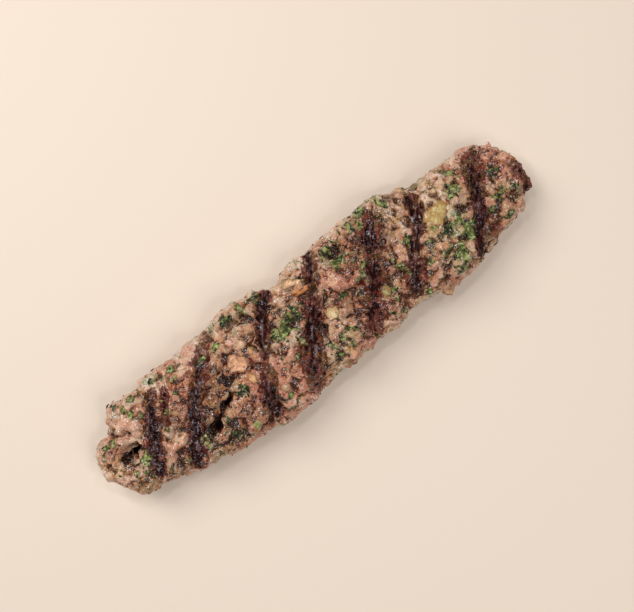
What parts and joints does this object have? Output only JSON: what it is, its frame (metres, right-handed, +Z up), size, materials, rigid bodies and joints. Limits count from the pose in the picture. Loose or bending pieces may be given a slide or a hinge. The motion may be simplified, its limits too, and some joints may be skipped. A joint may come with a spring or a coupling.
{
  "type": "grilled kofta",
  "caption": "Grilled minced-meat kofta off its skewer: one hand-pressed bar with a flat underside, grill marks, chopped herbs and onion.",
  "frame": {"origin": "the middle of the bar's bounding box, at the level of the surface that the bar lies on", "axes": "+X along the bar, from its lobed end with the deep hole to its blunt charred end; +Y across it; +Z up, out of its grilled top face"},
  "size_m": [0.2098, 0.0532, 0.0248],
  "materials": {
    "meat": "satin",
    "herb": "satin",
    "onion": "satin",
    "pepper": "matte"
  },
  "bodies": {
    "root": {"kofta": "meat"}
  },
  "joints": []
}
